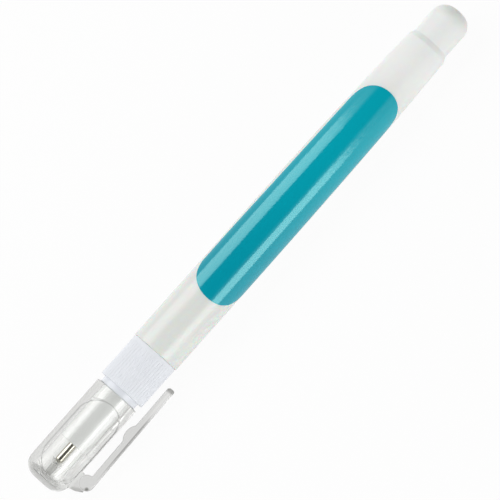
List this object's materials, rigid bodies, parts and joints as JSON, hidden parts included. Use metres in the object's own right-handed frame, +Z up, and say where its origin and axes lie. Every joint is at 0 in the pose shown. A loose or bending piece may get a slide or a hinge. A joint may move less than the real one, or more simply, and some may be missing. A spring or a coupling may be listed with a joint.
{
  "type": "correction pen",
  "caption": "Correction pen with a curved, tapering squeeze barrel of white fluid, sprung metal valve tip, ribbed collar, side label and clear pull-off cap with a pocket clip.",
  "frame": {"origin": "on the table under the middle of the lying pen: centre of the bounding box's bottom face", "axes": "+X along the pen from the cap to the rear post, +Z up, -Y towards the side the clip leans to"},
  "size_m": [0.14, 0.0154, 0.0122],
  "materials": {
    "barrel_plastic": "satin, slightly translucent white",
    "collar_plastic": "smooth bluish white",
    "nozzle_plastic": "smooth pale natural plastic",
    "tip_metal": "bright plated metal",
    "valve_metal": "drawn steel",
    "stop_plastic": "natural plastic",
    "clear_plastic": "clear, glossy",
    "label_film": "glossy teal film",
    "ball_steel": "polished steel",
    "fluid_white": "opaque white liquid"
  },
  "bodies": {
    "pen": {"barrel": "barrel_plastic", "grip_collar": "collar_plastic", "nozzle": "nozzle_plastic", "tip_tube": "tip_metal", "spring_stop": "stop_plastic", "valve_spring": "valve_metal", "label": "label_film", "correction_fluid": "fluid_white"},
    "cap": {"cap_shell": "clear_plastic"},
    "clip": {"cap_clip": "clear_plastic"},
    "pin": {"valve_pin": "valve_metal"},
    "ball": {"mixing_ball": "ball_steel"}
  },
  "joints": [
    {"name": "cap_pull", "type": "slide", "parent": "pen", "child": "cap", "axis": [-1, 0, 0], "range_m": [0, 0.04]},
    {"name": "clip_flex", "type": "hinge", "parent": "cap", "child": "clip", "pos_m": [-0.06345, -0.00534, 0.00233], "axis": [0, 0.4697, -0.8828], "range_deg": [0, 5], "stiffness_Nm_per_rad": 1},
    {"name": "pin_press", "type": "slide", "parent": "pen", "child": "pin", "axis": [1, 0, 0], "range_m": [0, 0.00045], "stiffness_N_per_m": 300, "springref_m": -0.0005, "deforming": ["valve_spring"]},
    {"name": "ball_roll", "type": "slide", "parent": "pen", "child": "ball", "axis": [1, 0, 0.0099], "range_m": [-0.03885, 0.0419], "deforming": ["correction_fluid"]}
  ]
}
